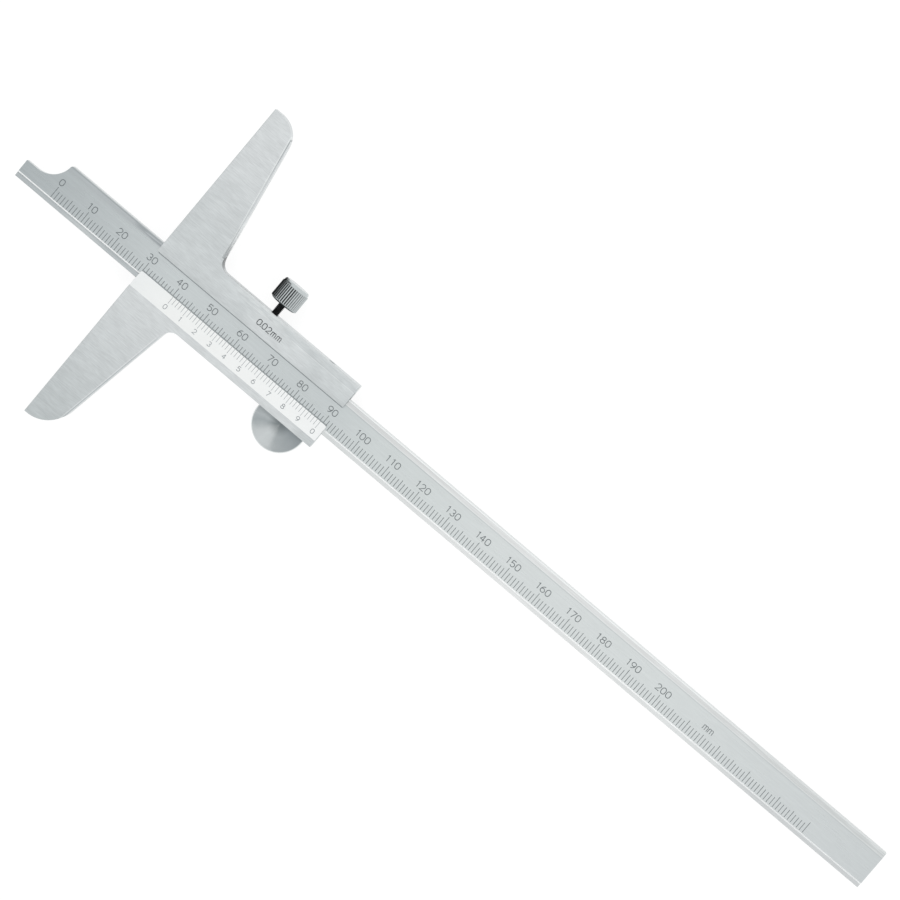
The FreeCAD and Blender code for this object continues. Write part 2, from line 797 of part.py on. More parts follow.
def main():
    doc = FreeCAD.newDocument("depth_gauge")
    write_sheet(doc)
    pieces = [
        make_base_slider(doc),
        make_beam(doc),
        make_vernier_plate(doc),
        make_screws(doc, "vernier_screws", vernier_screw_xs, vernier_screw_y, vernier_screw_length),
        make_gib_spring(doc),
        make_gib_screw(doc),
        make_clamp_pad(doc),
        make_clamp_stud(doc),
        make_clamp_knob(doc),
        make_thumb_disc(doc),
        make_screws(doc, "thumb_disc_screws", disc_screw_xs, disc_screw_y, disc_screw_length),
    ]
    doc.recompute()
    check(doc, pieces)
    os.makedirs("parts", exist_ok=True)
    for piece in pieces:
        piece.Shape.exportStep(f"parts/{piece.Label}.step")
        box = piece.Shape.BoundBox
        print(f"{piece.Label}: {len(piece.Shape.Solids)} solid, {piece.Shape.Volume:.2f} mm3, "
              f"X {box.XMin:.2f}..{box.XMax:.2f} Y {box.YMin:.2f}..{box.YMax:.2f} "
              f"Z {box.ZMin:.2f}..{box.ZMax:.2f}")


main()
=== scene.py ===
"""The looks of a vernier depth gauge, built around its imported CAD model.

Everything is in the frame of the model: X along the beam, away from its measuring tip, Y along the
measuring face towards the clamp knob, Z out of the graduated front. Sizes and places below are in
millimetres; meshes are made in metres.
"""

import math

import bpy
from mathutils import Matrix, Vector


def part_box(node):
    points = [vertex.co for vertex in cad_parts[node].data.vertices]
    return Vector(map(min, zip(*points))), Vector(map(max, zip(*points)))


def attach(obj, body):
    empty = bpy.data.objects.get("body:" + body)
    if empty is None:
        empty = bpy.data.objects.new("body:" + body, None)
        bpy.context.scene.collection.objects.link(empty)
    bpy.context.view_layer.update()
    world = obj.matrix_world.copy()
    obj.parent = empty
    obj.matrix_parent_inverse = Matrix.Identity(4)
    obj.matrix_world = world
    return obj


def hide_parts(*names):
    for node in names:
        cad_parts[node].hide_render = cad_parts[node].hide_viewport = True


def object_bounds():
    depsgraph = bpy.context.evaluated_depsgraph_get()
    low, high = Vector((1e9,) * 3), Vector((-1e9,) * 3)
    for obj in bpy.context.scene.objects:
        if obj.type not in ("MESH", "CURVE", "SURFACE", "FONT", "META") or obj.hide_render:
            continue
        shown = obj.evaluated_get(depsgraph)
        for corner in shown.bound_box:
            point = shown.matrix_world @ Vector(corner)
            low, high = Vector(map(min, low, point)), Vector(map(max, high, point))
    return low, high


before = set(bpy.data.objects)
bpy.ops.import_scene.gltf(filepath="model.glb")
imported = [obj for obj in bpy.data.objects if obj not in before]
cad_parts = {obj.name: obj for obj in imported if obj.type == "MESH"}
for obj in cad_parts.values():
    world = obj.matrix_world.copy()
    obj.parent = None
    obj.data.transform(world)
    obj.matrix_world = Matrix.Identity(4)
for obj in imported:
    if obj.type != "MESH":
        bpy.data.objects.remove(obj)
cad_low, cad_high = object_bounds()

MM = 0.001
DEGREE = math.pi / 180

# ---- places read from the model ------------------------------------------------------------


def box_mm(node):
    """The lowest and highest corner of a node at rest, in millimetres."""
    low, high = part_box(node)
    return low / MM, high / MM


_, base_high = box_mm("base_slider")
beam_low, beam_high = box_mm("beam")
plate_low, plate_high = box_mm("vernier_plate")
stud_low, stud_high = box_mm("clamp_stud")
knob_low, knob_high = box_mm("clamp_knob")
disc_low, disc_high = box_mm("thumb_disc")

front = base_high.z
slider_end = base_high.x
beam_front = beam_high.z

# ---- the slider's front, as the model has it -----------------------------------------------

WINDOW_EDGE = 3.15
RIDGE = 7.9
LIP_DROP = 0.2
SLIDER_HALF = 10.0
WING_ROOT = 14.9
WING_END = 7.75
WING_RUN = WING_ROOT - WING_END
WING_RISE = base_high.y - SLIDER_HALF
WING_SLANT = math.hypot(WING_RUN, WING_RISE)
LOWER_WING_EXCESS = 0.3
ROOT_RADIUS = 2.6
UPPER_WING_LINE = 0.345
LOWER_WING_LINE = 0.235
DARK_LINE_HALF = 0.06
BRIGHT_LINE = (0.22, 0.38)
PLATE_EDGE_TOP = plate_low.z + 0.15

# ---- the beam's front ----------------------------------------------------------------------

LEDGE_TOP = -4.55
LEDGE_SLOPE_TOP = -4.22
LAND_START = 4.1

# ---- graduations ---------------------------------------------------------------------------

ZERO_FROM_TIP = 10.6
BEAM_TICKS = 250
TICK_START = -4.08
TICK_LENGTHS = {1: 2.42, 5: 2.85, 10: 3.32}
TICK_WIDTH = 0.15
NUMBER_BOTTOM = -0.26
LAST_NUMBER = 200
NUMBER_HEIGHT = 1.88
NUMBER_STROKE = 0.19
UNIT_STROKE = 0.16
DIGIT_PITCH = 1.6
UNIT_PLACE = 215.0
UNIT_BOTTOM = -0.34
UNIT_PITCH = 1.66

VERNIER_ZERO = 10.6
VERNIER_TICKS = 50
VERNIER_PITCH = 0.98
VERNIER_TICK_LENGTHS = {1: 1.75, 5: 2.15}
VERNIER_TICK_WIDTH = 0.12
VERNIER_NUMBER_BOTTOM = -7.17
VERNIER_NUMBER_HEIGHT = 1.38
VERNIER_STROKE = 0.17
# Widths of the strips of painted shadow at the plate's reading edge and the window's edge, and how far they
# reach under them.
READING_EDGE_WIDTH = 0.3
WINDOW_EDGE_WIDTH = 0.2
EDGE_OVERLAP = 0.02

READING_PLACES = [("0", 31.55), (".", 32.39), ("0", 33.25), ("2", 34.72), ("m", 36.32), ("m", 38.02)]
READING_BOTTOM = 5.2
READING_HEIGHT = 1.76
READING_STROKE = 0.21
READING_UNIT_STROKE = 0.19

MARK_SINK = 0.02
MARK_RISE = 0.012
MARK_STEP = 0.0015

# ---- the clamp screw -----------------------------------------------------------------------

KNURLS = 38
KNURL_DEPTH = 0.2
KNURL_HALF_WIDTH = 0.4
KNURL_TURN = -3.3
KNOB_COLLAR = 1.0
KNOB_LOWER_CHAMFER = 0.5
KNOB_EXCESS = 0.1

THREAD_PITCH = 0.4
THREAD_DEPTH = 0.17
CREST_HALF = 0.2
FLANK = 0.25


# ---- meshes --------------------------------------------------------------------------------

def make_piece(name, vertices, faces, body, material, smooth_angle=None):
    """Make a piece from points in millimetres and hang it on its body."""
    mesh = bpy.data.meshes.new(name)
    mesh.from_pydata([Vector(v) * MM for v in vertices], [], faces)
    mesh.validate()
    mesh.materials.append(material)
    if smooth_angle is not None:
        mesh.shade_smooth()
        mesh.set_sharp_from_angle(angle=smooth_angle * DEGREE)
    piece = bpy.data.objects.new(name, mesh)
    bpy.context.scene.collection.objects.link(piece)
    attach(piece, body)
    return piece


class Marks:
    """Painted strokes on a face, each a thin closed prism; surface(y) is the face's height."""

    def __init__(self, surface):
        self.surface = surface
        self.vertices = []
        self.faces = []

    def stroke(self, points, width, closed=False, lift=0.0):
        """Lay a stroke of constant width along a line of (x, y) points, with mitred corners."""
        points = [Vector(p) for p in points]
        count = len(points)
        first = len(self.vertices)
        for i, point in enumerate(points):
            before = points[i - 1] if closed or i else None
            after = points[(i + 1) % count] if closed or i < count - 1 else None
            steps = [(b - a).normalized() for a, b in ((before, point), (point, after)) if a and b]
            along = sum(steps, Vector((0.0, 0.0))).normalized()
            across = Vector((-along.y, along.x))
            reach = width / 2 / max(0.5, across.dot(Vector((-steps[0].y, steps[0].x))))
            for side in (across * reach, across * -reach):
                place = point + side
                top = self.surface(place.y) + MARK_RISE + lift
                self.vertices.append((place.x, place.y, top))
                self.vertices.append((place.x, place.y, self.surface(place.y) - MARK_SINK))
        sections = count if closed else count - 1
        for i in range(sections):
            a, b = first + 4 * i, first + 4 * ((i + 1) % count)
            for p, q in ((0, 2), (2, 3), (3, 1), (1, 0)):
                self.faces.append((a + p, a + q, b + q, b + p))
        if not closed:
            last = first + 4 * (count - 1)
            self.faces.append((first, first + 1, first + 3, first + 2))
            self.faces.append((last, last + 2, last + 3, last + 1))

    def bar(self, x, start, end, width):
        """Lay one graduation line across the beam."""
        self.stroke([(x, start), (x, end)], width)

    def text(self, words, centre, bottom, height, width, pitch=0.0):
        """Write words around a centre along X, the characters a pitch apart.

        The strokes of a character lie at slightly different heights, so that none covers another.
        """
        scale = height - width
        left = centre - pitch * (len(words) - 1) / 2
        for i, letter in enumerate(words):
            for layer, (points, closed) in enumerate(GLYPHS[letter]):
                placed = [(left + i * pitch + x * scale, bottom + width / 2 + y * scale) for x, y in points]
                self.stroke(placed, width, closed, layer * MARK_STEP)

    def finish(self, name, body, material):
        return make_piece(name, self.vertices, self.faces, body, material)


# ---- letters -------------------------------------------------------------------------------
# Strokes of one height, centred on x = 0, for an engraver's single-line lettering.

HALF = 0.35


def arc(x, y, radius_x, radius_y, start, end, steps=10):
    """Points of an elliptical arc; the angles are in degrees, counter-clockwise from +X."""
    angles = [(start + (end - start) * i / steps) * DEGREE for i in range(steps + 1)]
    return [(x + radius_x * math.cos(a), y + radius_y * math.sin(a)) for a in angles]


def oval(x, y, radius_x, radius_y):
    """Points of a closed ellipse."""
    return arc(x, y, radius_x, radius_y, 0, 360, 20)[:-1]


def turned(points):
    """The same strokes upside down, which makes a 9 of a 6."""
    return [(-x, 1 - y) for x, y in points]


ROUND = 0.33
ZERO = (arc(0, 1 - ROUND, HALF, ROUND, 0, 180) + arc(0, ROUND, HALF, ROUND, 180, 360))
SIX_BOWL = oval(0, 0.31, HALF, 0.31)
SIX_STEM = arc(0.32, 0.31, 0.32 + HALF, 0.69, 180, 100, 8)
LOWER_M = 0.74
M_HALF = 0.38
M_ARCH = 0.2

GLYPHS = {
    "0": [(ZERO, True)],
    "1": [([(-0.13, 0.84), (0.1, 1), (0.1, 0)], False)],
    "2": [(arc(0, 0.7, 0.33, 0.3, 165, -35, 10) + [(-HALF, 0), (HALF, 0)], False)],
    "3": [(arc(0, 0.75, 0.3, 0.25, 150, -90, 10), False), (arc(0, 0.26, HALF, 0.26, 90, -160, 10), False)],
    "4": [([(0.14, 0), (0.14, 1)], False), ([(0.12, 1), (-HALF, 0.3), (HALF, 0.3)], False)],
    "5": [([(0.28, 1), (-0.25, 1), (-0.3, 0.55)] + arc(0, 0.32, HALF, 0.32, 125, -150, 12), False)],
    "6": [(SIX_BOWL, True), (SIX_STEM, False)],
    "7": [([(-HALF, 1), (HALF, 1), (-0.1, 0)], False)],
    "8": [(oval(0, 0.76, 0.28, 0.24), True), (oval(0, 0.27, HALF, 0.27), True)],
    "9": [(turned(SIX_BOWL), True), (turned(SIX_STEM), False)],
    ".": [([(0, -0.07), (0, 0.09)], False)],
    "m": [
        ([(-M_HALF, 0), (-M_HALF, LOWER_M)], False),
        (arc(-M_HALF / 2, LOWER_M - M_ARCH, M_HALF / 2, M_ARCH, 180, 0, 8) + [(0, 0)], False),
        (arc(M_HALF / 2, LOWER_M - M_ARCH, M_HALF / 2, M_ARCH, 180, 0, 8) + [(M_HALF, 0)], False),
    ],
}


def length_for(number, lengths):
    """The length of a graduation line, from the largest step that divides its number."""
    return lengths[max(step for step in lengths if number % step == 0)]


# ---- materials -----------------------------------------------------------------------------

def linear(red, green, blue):
    """A screen colour of 0 to 255 as the linear colour of a shader socket."""
    def one(value):
        value /= 255
        return value / 12.92 if value <= 0.04045 else ((value + 0.055) / 1.055) ** 2.4
    return (one(red), one(green), one(blue), 1.0)


class Finish:
    """A material under construction. Its methods return sockets; lengths are in millimetres."""

    def __init__(self, name, metallic=1.0, roughness=0.3, anisotropic=0.0):
        self.material = bpy.data.materials.new(name)
        self.material.use_nodes = True
        self.tree = self.material.node_tree
        self.surface = self.tree.nodes["Principled BSDF"]
        self.surface.inputs["Metallic"].default_value = metallic
        self.surface.inputs["Roughness"].default_value = roughness
        self.surface.inputs["Anisotropic"].default_value = anisotropic
        coordinates = self.tree.nodes.new("ShaderNodeTexCoord")
        self.place = self.vector("SCALE", coordinates.outputs["Object"], scale=1 / MM)
        self.x, self.y, self.z = self.split(self.place)
        self.facing_x, self.facing_y, self.facing_z = self.split(coordinates.outputs["Normal"])

    def split(self, vector):
        """The x, y and z of a vector."""
        node = self.tree.nodes.new("ShaderNodeSeparateXYZ")
        self.put(node.inputs[0], vector)
        return node.outputs

    def put(self, socket, value):
        """Set a socket to a value, or join another socket to it."""
        if isinstance(value, bpy.types.NodeSocket):
            self.tree.links.new(value, socket)
        elif socket.type == "VECTOR":
            socket.default_value = value[:3]
        else:
            socket.default_value = value

    def vector(self, operation, first, second=None, scale=None):
        node = self.tree.nodes.new("ShaderNodeVectorMath")
        node.operation = operation
        self.put(node.inputs[0], first)
        if second is not None:
            self.put(node.inputs[1], second)
        if scale is not None:
            self.put(node.inputs["Scale"], scale)
        return node.outputs["Value" if operation in ("LENGTH", "DOT_PRODUCT") else "Vector"]

    def math(self, operation, first, second=0.0):
        node = self.tree.nodes.new("ShaderNodeMath")
        node.operation = operation
        self.put(node.inputs[0], first)
        self.put(node.inputs[1], second)
        return node.outputs[0]

    def fade(self, value, start, end, low=0.0, high=1.0):
        """Rise smoothly from low to high while value goes from start to end."""
        node = self.tree.nodes.new("ShaderNodeMapRange")
        node.interpolation_type = "SMOOTHSTEP"
        for socket, number in zip(node.inputs, (value, start, end, low, high)):
            self.put(socket, number)
        return node.outputs[0]

    def band(self, value, start, end, soft):
        """One between start and end, and zero beyond them by more than soft."""
        rise = self.fade(value, start - soft, start)
        fall = self.fade(value, end, end + soft, 1.0, 0.0)
        return self.math("MULTIPLY", rise, fall)

    def noise(self, stretch, detail, seed):
        """Noise of 0 to 1 whose grains measure stretch = (x, y, z)."""
        node = self.tree.nodes.new("ShaderNodeTexNoise")
        node.noise_dimensions = "4D"
        grid = self.vector("DIVIDE", self.place, stretch)
        self.put(node.inputs["Vector"], grid)
        self.put(node.inputs["W"], seed)
        self.put(node.inputs["Scale"], 1.0)
        self.put(node.inputs["Detail"], detail)
        return node.outputs["Fac"]

    def rings(self, radius, per_mm, detail=2.0):
        """Noise of 0 to 1 that changes with the radius only, as a lathe leaves it."""
        node = self.tree.nodes.new("ShaderNodeTexNoise")
        node.noise_dimensions = "1D"
        self.put(node.inputs["W"], self.math("MULTIPLY", radius, per_mm))
        self.put(node.inputs["Detail"], detail)
        return node.outputs["Fac"]

    def spread(self, noise, low, high):
        """Turn noise into values from low to high."""
        return self.fade(noise, 0.2, 0.8, low, high)

    def swing(self, noise, amount):
        """Turn noise into a factor that varies around one by the amount given."""
        return self.fade(noise, 0.25, 0.75, 1 - amount, 1 + amount)

    def blend(self, share, first, second):
        """Mix two colours."""
        node = self.tree.nodes.new("ShaderNodeMix")
        node.data_type = "RGBA"
        self.put(node.inputs["Factor"], share)
        self.put(node.inputs[6], first)
        self.put(node.inputs[7], second)
        return node.outputs[2]

    def ramp(self, value, stops):
        """A colour that changes with a value, from stops of (value, screen colour)."""
        first, last = stops[0][0], stops[-1][0]
        node = self.tree.nodes.new("ShaderNodeValToRGB")
        share = self.math("DIVIDE", self.math("SUBTRACT", value, first), last - first)
        self.put(node.inputs["Fac"], share)
        elements = node.color_ramp.elements
        elements[0].color = linear(*stops[0][1])
        elements[-1].color = linear(*stops[-1][1])
        for place, colour in stops[1:-1]:
            elements.new((place - first) / (last - first)).color = linear(*colour)
        return node.outputs["Color"]

    def arm(self, centre, axes):
        """The way here from a centre, along the axes marked with a one."""
        return self.vector("MULTIPLY", self.vector("SUBTRACT", self.place, centre), axes)

    def front_face(self):
        """One where the surface lies flat towards the front."""
        return self.fade(self.facing_z, 0.95, 0.97)

    def side_wall(self):
        """One where the surface stands upright to the front."""
        return self.fade(self.math("ABSOLUTE", self.facing_z), 0.3, 0.1)

    def both(self, *shares):
        """The product of several shares of 0 to 1."""
        product = shares[0]
        for share in shares[1:]:
            product = self.math("MULTIPLY", product, share)
        return product

    def tint(self, colour, share, shade, strength=1.0):
        """Lay a screen colour over another one, by a share of 0 to 1 and a strength."""
        return self.blend(self.math("MULTIPLY", share, strength), colour, linear(*shade))

    def shade(self, colour, factor):
        """Multiply a colour by a number."""
        return self.vector("SCALE", colour, scale=factor)

    def bump(self, height, depth):
        """Raise the surface by height times depth, in millimetres."""
        node = self.tree.nodes.new("ShaderNodeBump")
        self.put(node.inputs["Strength"], 1.0)
        self.put(node.inputs["Distance"], depth * MM)
        self.put(node.inputs["Height"], height)
        self.put(self.surface.inputs["Normal"], node.outputs[0])

    def paint(self, colour, roughness=None, tangent=None):
        """End the material with its colour, and with a roughness and a brushing direction if given."""
        self.put(self.surface.inputs["Base Color"], colour)
        if roughness is not None:
            self.put(self.surface.inputs["Roughness"], roughness)
        if tangent is not None:
            self.put(self.surface.inputs["Tangent"], tangent)
        return self.material


# The brightness of a whole face, as a factor of its tones; TIP_LEVEL is painted shade, the beam's level
# towards its tip.
BASE_LEVEL = 0.972
TIP_LEVEL = 0.98
PLATE_LEVEL = 0.96

# Tones are painted light and shade, gradients for a studio that isn't in this scene. Their stops of (place
# along an axis, screen colour) stand only where a gradient turns.
BASE_TONES = [
    (-50, (190, 196, 197)), (-9, (213, 217, 218)), (3, (201, 206, 207)), (7, (208, 213, 214)),
    (14, (204, 209, 210)), (36, (214, 218, 219)), (50, (215, 219, 220)),
]
# Where painted light on the strip above the ridge, and a painted sheen on the lip, start and end along x.
STRIP_START, LIT_STRIP_END = 24, 36
SHEEN_START, SHEEN_END = 32, 44


def paint_slider_front(f, colour):
    """The slider's front above the window, with painted light and shade, darker patches and painted edge
    lines.
    """
    front_face = f.front_face()
    wavy = f.noise((4.5, 0.7, 0.7), detail=3.0, seed=4.0)
    strip = f.both(front_face, f.band(f.y, RIDGE, SLIDER_HALF, 0.05))
    # Painted light on the strip above the ridge.
    lit = f.both(strip, f.band(f.x, STRIP_START, LIT_STRIP_END, 4))
    colour = f.tint(colour, lit, (224, 228, 228), 0.4)
    # Darker patches on that strip.
    mottled = f.both(strip, f.band(f.x, STRIP_START, slider_end, 6), f.fade(wavy, 0.45, 0.7))
    colour = f.tint(colour, mottled, (192, 198, 200), 0.5)
    # A painted sheen on the lip, in a band along x.
    sheen = f.both(front_face, f.band(f.y, WINDOW_EDGE + 0.4, RIDGE, 0.5))
    colour = f.tint(colour, f.both(sheen, f.band(f.x, SHEEN_START, SHEEN_END, 6)), (220, 224, 225), 0.4)
    # Painted light along the top of the slider's front.
    top_strip = f.both(front_face, f.fade(f.y, SLIDER_HALF - 0.8, SLIDER_HALF - 0.5))
    colour = f.tint(colour, f.both(top_strip, f.fade(f.x, 18, 26)), (222, 226, 226), 0.4)
    # A painted highlight just below the ridge, and a line of painted shade on it.
    below_ridge = f.both(f.band(f.y, RIDGE - 0.24, RIDGE - 0.08, 0.06), f.band(f.x, 44, slider_end, 8))
    colour = f.tint(colour, below_ridge, (224, 228, 228), 0.5)
    ridge = f.both(f.band(f.y, RIDGE, RIDGE + 0.12, 0.05), f.band(f.x, 50, slider_end, 12))
    colour = f.tint(colour, ridge, (176, 182, 185), 0.3)
    # A line of painted shadow along the window's edge.
    window = f.band(f.y, WINDOW_EDGE - 0.1, WINDOW_EDGE + 0.02, 0.04)
    window = f.both(window, f.fade(f.z, front - 0.3, front - 0.25))
    colour = f.tint(colour, window, (40, 45, 47), 0.5)
    # Painted shade along the slider's end.
    end_line = f.fade(f.x, slider_end - 0.12, slider_end - 0.06)
    end_line = f.both(end_line, f.band(f.y, WINDOW_EDGE, RIDGE, 0.3))
    colour = f.tint(colour, end_line, (130, 137, 140), 0.6)
    # Painted shade towards the end of the lower rail.
    rail_end = f.both(f.fade(f.y, -6, -7), f.fade(f.x, 54.5, 58))
    return f.tint(colour, rail_end, (199, 204, 205), 0.9)


def paint_wings(f, colour):
    """The strip along each wing's slanting edge in painted light, set off by a line of painted shade and
    one of highlight.
    """
    def by_wing(upper, lower):
        return f.fade(f.y, 1, -1, upper, lower)

    along = f.math("SUBTRACT", f.math("ABSOLUTE", f.y), SLIDER_HALF)
    across = f.math("SUBTRACT", by_wing(WING_ROOT, WING_ROOT + LOWER_WING_EXCESS), f.x)
    inset = f.math("SUBTRACT", f.math("MULTIPLY", across, WING_RISE / WING_SLANT),
                   f.math("MULTIPLY", along, WING_RUN / WING_SLANT))
    past_line = f.math("SUBTRACT", inset, by_wing(UPPER_WING_LINE, LOWER_WING_LINE))
    on_wing = f.fade(along, 2.6, 5.0)
    # Painted light: the strip's own tones, lighter still on the upper wing near its root.
    strip = f.blend(by_wing(0.0, 1.0), linear(213, 217, 218), linear(205, 210, 211))
    strip = f.tint(strip, f.band(f.y, 12, 21, 5), (236, 240, 240), 0.8)
    colour = f.blend(f.both(on_wing, f.fade(past_line, 0.02, -0.04)), colour, strip)
    # The painted dark line of shade is fainter near the slider and stands out towards the ends of the
    # wings.
    wear_and_shade = f.math("MAXIMUM", f.fade(f.y, 31, 45, 0.18, 1.0), f.fade(f.y, -14, -26, 0.18, 0.6))
    dark_line = f.both(f.band(past_line, -DARK_LINE_HALF, DARK_LINE_HALF, 0.04), on_wing, wear_and_shade)
    colour = f.tint(colour, dark_line, (160, 166, 168))
    # A painted highlight along the strip.
    bright_line = f.both(f.band(past_line, *BRIGHT_LINE, 0.06), on_wing, f.fade(f.y, 10, 30, 0.45, 0.75))
    return f.tint(colour, bright_line, (234, 238, 238))


def paint_slider_walls(f, colour):
    """Painted light on the upright walls facing +Y, and a dark curve of painted shade at the upper wing's
    root.
    """
    wall = f.side_wall()
    # Painted light on the walls that face +Y.
    colour = f.tint(colour, f.both(wall, f.fade(f.facing_y, 0.5, 0.9)), (208, 213, 214))
    start = SLIDER_HALF + 0.2
    # Painted shade in the corner at the root of the upper wing.
    corner = f.both(wall, f.fade(f.facing_x, 0.35, 0.75), f.band(f.y, SLIDER_HALF, SLIDER_HALF + 2.8, 0.3))
    colour = f.tint(colour, f.both(corner, f.fade(f.y, start, start + 2, 0.5, 1.0)), (62, 68, 70), 0.95)
    middle_x = WING_ROOT + ROOT_RADIUS * (WING_SLANT - WING_RUN) / WING_RISE
    middle_y = SLIDER_HALF + ROOT_RADIUS
    radius = f.vector("LENGTH", f.arm((middle_x, middle_y, 0), (1, 1, 0)))
    quarter = f.both(f.fade(f.x, middle_x, middle_x - 1), f.fade(f.y, middle_y + 0.3, middle_y))
    # A darker crescent of painted shade in the root's curve.
    crescent = f.both(f.fade(radius, ROOT_RADIUS + 0.12, ROOT_RADIUS - 0.02), quarter)
    return f.tint(colour, f.both(crescent, f.fade(f.y, start, start + 1.8)), (76, 82, 84), 0.9)


def base_steel():
    """Ground satin steel brushed along the beam, with painted light and shade, and fine painted bright and
    dark lines at its edges.
    """
    f = Finish("ground_steel", roughness=0.32)
    fine = f.noise((2.2, 0.14, 0.14), detail=2.0, seed=1.0)
    grain = f.noise((7.0, 0.3, 0.3), detail=3.0, seed=2.0)
    cloud = f.noise((4.0, 2.2, 2.2), detail=3.0, seed=3.0)
    # Painted light and shade across the base, by y.
    colour = f.ramp(f.y, BASE_TONES)
    colour = paint_slider_front(f, colour)
    colour = paint_wings(f, colour)
    colour = paint_slider_walls(f, colour)
    # The edge breaks facing -X get a painted tone and turn non-metal, in place of their reflection.
    edge_break = f.both(f.fade(f.facing_x, -0.4, -0.6), f.fade(f.facing_z, 0.4, 0.6))
    colour = f.tint(colour, edge_break, (206, 211, 212))
    f.put(f.surface.inputs["Metallic"], f.math("SUBTRACT", 1.0, edge_break))
    factor = f.both(BASE_LEVEL, f.swing(fine, 0.076), f.swing(grain, 0.03), f.swing(cloud, 0.04))
    f.bump(fine, 0.003)
    return f.paint(f.shade(colour, factor), roughness=f.spread(grain, 0.28, 0.38))


# Painted light and shade along the beam, darker towards the tip: stops of (x, screen colour) for its face,
# the land above and the ledge below.
FACE_TONES = [
    (-40.3, (174, 181, 183)), (8, (201, 207, 208)), (58, (198, 204, 205)), (75, (206, 212, 212)),
    (115, (212, 217, 217)), (170, (212, 217, 217)), (240, (201, 206, 207)),
]
LAND_TONES = [
    (-40.3, (170, 177, 179)), (-24, (183, 189, 191)), (-5, (186, 191, 193)), (77, (214, 216, 216)),
    (115, (221, 223, 223)), (165, (217, 219, 219)), (240, (199, 203, 203)),
]
LEDGE_TONES = [
    (-40.3, (180, 186, 188)), (-26, (184, 190, 192)), (-18, (196, 201, 202)), (-9, (185, 191, 193)),
    (77, (219, 222, 222)), (115, (225, 227, 227)), (190, (221, 224, 224)), (206, (206, 209, 210)),
    (240, (204, 207, 208)),
]

# Where the tones of the beam's edges change towards its far end.
FAR_FADE = (170, 205)


def paint_land(f, colour, streak):
    """The ground land along the beam's upper edge, in painted light and shade, with patches and painted
    lines at its start.
    """
    wavy = f.noise((7.0, 0.35, 0.35), detail=3.0, seed=19.0)
    land = f.fade(f.y, LAND_START - 0.05, LAND_START + 0.1)
    rough_land = f.shade(f.ramp(f.x, LAND_TONES), f.swing(streak, 0.035))
    colour = f.blend(land, colour, rough_land)
    # Darker marks and a dark patch near the tip, and lighter patches further along.
    ragged = f.both(f.fade(streak, 0.5, 0.66), f.band(f.x, -30, 2, 3), f.fade(f.y, 3.4, 4.3))
    colour = f.tint(colour, ragged, (158, 165, 168), 0.4)
    patch = f.both(f.fade(wavy, 0.42, 0.6), f.band(f.x, -7, -1, 3), f.band(f.y, 4.4, 5.3, 0.3))
    colour = f.tint(colour, patch, (140, 147, 150), 0.6)
    mottled = f.both(land, f.fade(wavy, 0.5, 0.68), f.fade(f.x, 60, 120))
    colour = f.tint(colour, mottled, (230, 233, 233), 0.5)
    # A line of painted shade at the land's start, and a painted highlight line beside it.
    away = f.fade(f.x, 30, 75)
    start_line = f.both(f.band(f.y, LAND_START - 0.24, LAND_START - 0.05, 0.05), away)
    colour = f.tint(colour, start_line, (184, 190, 191), f.fade(f.x, 80, 110, 0.7, 0.45))
    lit_line = f.both(f.band(f.y, LAND_START + 0.06, LAND_START + 0.24, 0.05), away)
    return f.tint(colour, lit_line, (234, 237, 237), f.fade(f.x, 160, 205, 0.5, 0.3))


def paint_upper_edge(f, colour):
    """Fine lines of painted shade and highlight along the beam's upper edge, dark near its tip and bright
    away from it.
    """
    top = beam_high.y
    # A line of painted shade near the tip, and painted highlights along the edge further on.
    lower_line = f.band(f.y, top - 0.44, top - 0.2, 0.05)
    colour = f.tint(colour, lower_line, (156, 163, 165), f.fade(f.x, 10, 60, 0.7, 0.0))
    edge = f.band(f.y, top - 0.22, top, 0.04)
    colour = f.tint(colour, edge, (228, 232, 232), f.fade(f.x, 20, 60, 0.2, 0.8))
    lit_edge = f.both(f.band(f.y, top - 0.32, top - 0.16, 0.05), f.fade(f.x, 30, 60))
    colour = f.tint(colour, lit_edge, (245, 248, 248), f.fade(f.x, *FAR_FADE, 0.9, 0.35))
    return f.tint(colour, edge, (218, 222, 222), f.fade(f.x, 175, 205, 0.0, 0.9))


def paint_ledge(f, colour, streak):
    """The ledge along the beam's lower edge in painted light and shade, and the slope above it, a painted
    highlight.
    """
    broad = f.noise((16.0, 3.0, 3.0), detail=2.0, seed=10.0)
    ledge = f.fade(f.y, LEDGE_TOP + 0.02, LEDGE_TOP - 0.03)
    rough_ledge = f.both(f.swing(streak, 0.03), f.swing(broad, 0.02))
    colour = f.blend(ledge, colour, f.shade(f.ramp(f.x, LEDGE_TONES), rough_ledge))
    # A line of painted shade on the ledge near the tip.
    ledge_line = f.both(f.band(f.y, LEDGE_TOP - 0.16, LEDGE_TOP - 0.06, 0.04), f.fade(f.x, 30, 10))
    colour = f.tint(colour, ledge_line, (160, 167, 169), 0.5)
    # A painted highlight on the slope: a near white band, its facets made non-metal so that they show it.
    line_place = f.math("ADD", f.y, f.fade(f.x, 0, 60, -0.16, 0.0))
    slope = f.band(line_place, LEDGE_TOP - 0.05, LEDGE_SLOPE_TOP - 0.03, 0.03)
    colour = f.tint(colour, slope, (252, 254, 254), f.fade(f.x, *FAR_FADE, 1.0, 0.75))
    slope_face = f.both(f.fade(f.facing_y, -0.3, -0.5), f.fade(f.facing_z, 0.2, 0.4))
    f.put(f.surface.inputs["Metallic"], f.fade(slope_face, 0, 1, 1.0, 0.1))
    return colour


